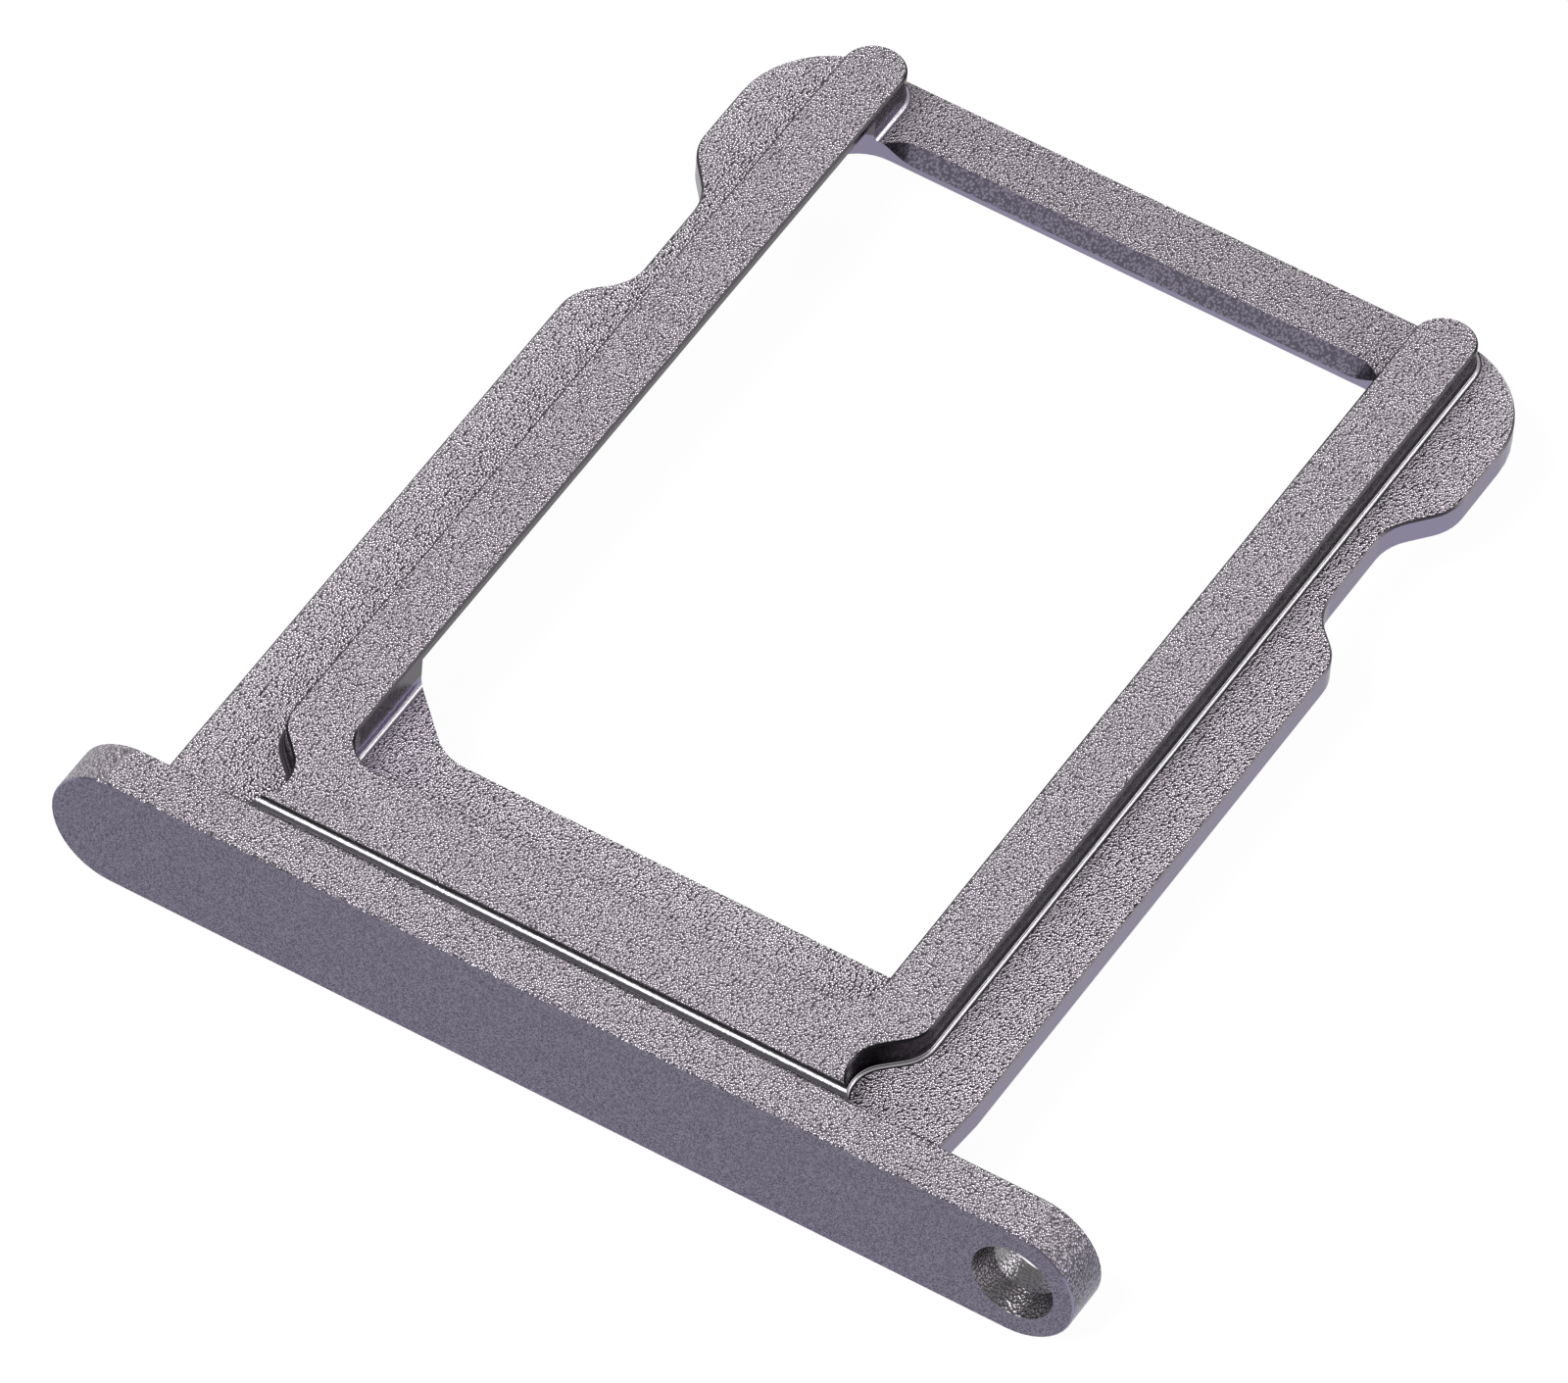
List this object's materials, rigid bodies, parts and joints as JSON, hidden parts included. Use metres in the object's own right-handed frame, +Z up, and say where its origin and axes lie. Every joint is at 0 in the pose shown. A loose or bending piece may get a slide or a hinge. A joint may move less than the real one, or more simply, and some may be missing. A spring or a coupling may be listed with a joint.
{
  "type": "sim card tray",
  "caption": "Small milled metal tray that carries a phone card in a pocket between two rails, with a long round-ended bezel and a release pin hole.",
  "frame": {"origin": "centre of the bounding box, at the lowest point of the bezel", "axes": "+X across the tray towards the pin hole, +Y from the bezel to the far end of the tray, +Z up from the pocket side to the side of the rails' tops"},
  "size_m": [0.0154, 0.0168, 0.0019],
  "materials": {
    "blasted_aluminium": "bead blasted and anodised grey, finer on the bezel's face, cut walls smooth"
  },
  "bodies": {
    "root": {"sim_tray": "blasted_aluminium"}
  },
  "joints": []
}
